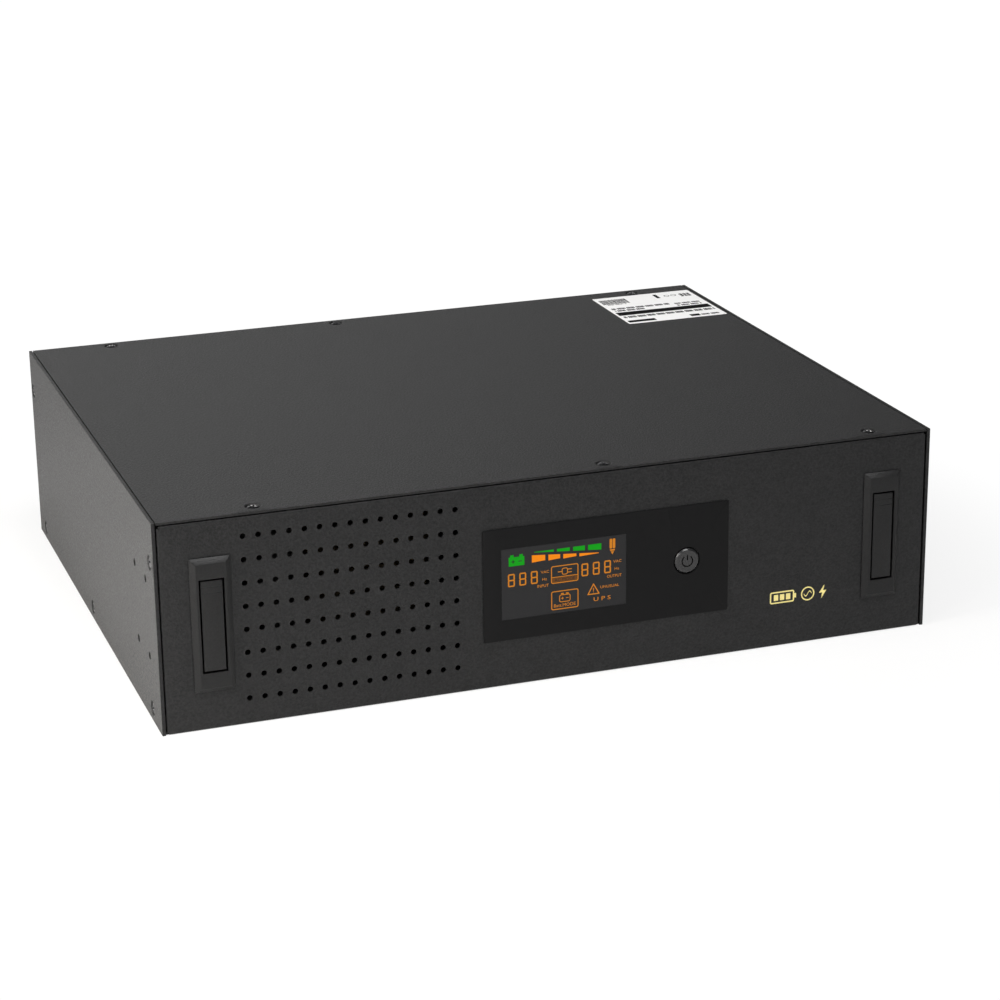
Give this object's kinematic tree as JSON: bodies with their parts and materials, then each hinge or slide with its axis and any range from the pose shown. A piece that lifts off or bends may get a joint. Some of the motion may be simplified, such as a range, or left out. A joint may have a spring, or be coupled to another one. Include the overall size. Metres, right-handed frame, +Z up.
{
  "type": "uninterruptible power supply",
  "caption": "Flat rack-width uninterruptible power supply: steel case, vented front with display, power button and pull-out grips, fan and sockets at the rear.",
  "frame": {"origin": "under the middle of the case, at floor level", "axes": "+Z up, -Y out of the front, +X to the right of someone facing the front"},
  "size_m": [0.43, 0.346, 0.1145],
  "materials": {
    "powder_coat": "matte",
    "screw_black": "satin",
    "black_plastic": "satin",
    "overlay": "satin",
    "lcd": "gloss",
    "label": "matte",
    "zinc": "satin",
    "battery_case": "matte",
    "laminations": "matte",
    "winding": "satin",
    "board": "satin",
    "aluminium": "satin",
    "capacitor": "gloss",
    "relay": "satin",
    "chrome_wire": "polished",
    "white_plastic": "gloss",
    "red_insulation": "satin",
    "black_insulation": "satin"
  },
  "bodies": {
    "case": {"base_pan": "powder_coat", "left_side_panel": "powder_coat", "right_side_panel": "powder_coat", "top_cover": "powder_coat", "front_panel": "powder_coat", "rear_panel": "powder_coat", "cover_screw_1": "screw_black", "cover_screw_2": "screw_black", "cover_screw_3": "screw_black", "cover_screw_4": "screw_black", "cover_screw_5": "screw_black", "cover_screw_6": "screw_black", "left_screw_1": "screw_black", "left_screw_2": "screw_black", "left_screw_3": "screw_black", "left_screw_4": "screw_black", "left_screw_5": "screw_black", "right_screw_1": "screw_black", "right_screw_2": "screw_black", "right_screw_3": "screw_black", "right_screw_4": "screw_black", "right_screw_5": "screw_black", "left_handle_bezel": "black_plastic", "right_handle_bezel": "black_plastic", "power_switch": "black_plastic", "fan_frame": "black_plastic", "mains_socket_1": "black_plastic", "mains_socket_2": "black_plastic", "appliance_outlet_1": "black_plastic", "appliance_outlet_2": "black_plastic", "mains_inlet": "black_plastic", "breaker_body": "black_plastic", "line_jacks": "black_plastic", "display_overlay": "overlay", "lcd_module": "lcd", "rating_label": "label", "battery_strap": "zinc", "battery_bracket": "zinc", "transformer_clamp": "zinc", "usb_port": "zinc", "battery_1": "battery_case", "battery_2": "battery_case", "battery_3": "battery_case", "battery_4": "battery_case", "transformer_core": "laminations", "transformer_coil": "winding", "display_board": "board", "main_board": "board", "heat_sink_1": "aluminium", "heat_sink_2": "aluminium", "capacitor": "capacitor", "relay": "relay", "fan_guard": "chrome_wire", "battery_lead_red": "red_insulation", "battery_lead_black": "black_insulation"},
    "power_button": {"power_button": "black_plastic"},
    "left_grip": {"left_handle_grip": "black_plastic"},
    "right_grip": {"right_handle_grip": "black_plastic"},
    "fan_rotor": {"fan_rotor": "black_plastic"},
    "breaker_button": {"breaker_button": "white_plastic"}
  },
  "joints": [
    {"name": "power_button_press", "type": "slide", "parent": "case", "child": "power_button", "axis": [0, 1, 0], "range_m": [0, 0.0015], "stiffness_N_per_m": 400},
    {"name": "left_grip_pull", "type": "slide", "parent": "case", "child": "left_grip", "axis": [0, -1, 0], "range_m": [0, 0.03]},
    {"name": "right_grip_pull", "type": "slide", "parent": "case", "child": "right_grip", "axis": [0, -1, 0], "range_m": [0, 0.03]},
    {"name": "fan_spin", "type": "hinge", "parent": "case", "child": "fan_rotor", "pos_m": [-0.14, 0.154, 0.057], "axis": [0, 1, 0], "continuous": true},
    {"name": "breaker_pop", "type": "slide", "parent": "case", "child": "breaker_button", "axis": [0, 1, 0], "range_m": [0, 0.004]}
  ]
}
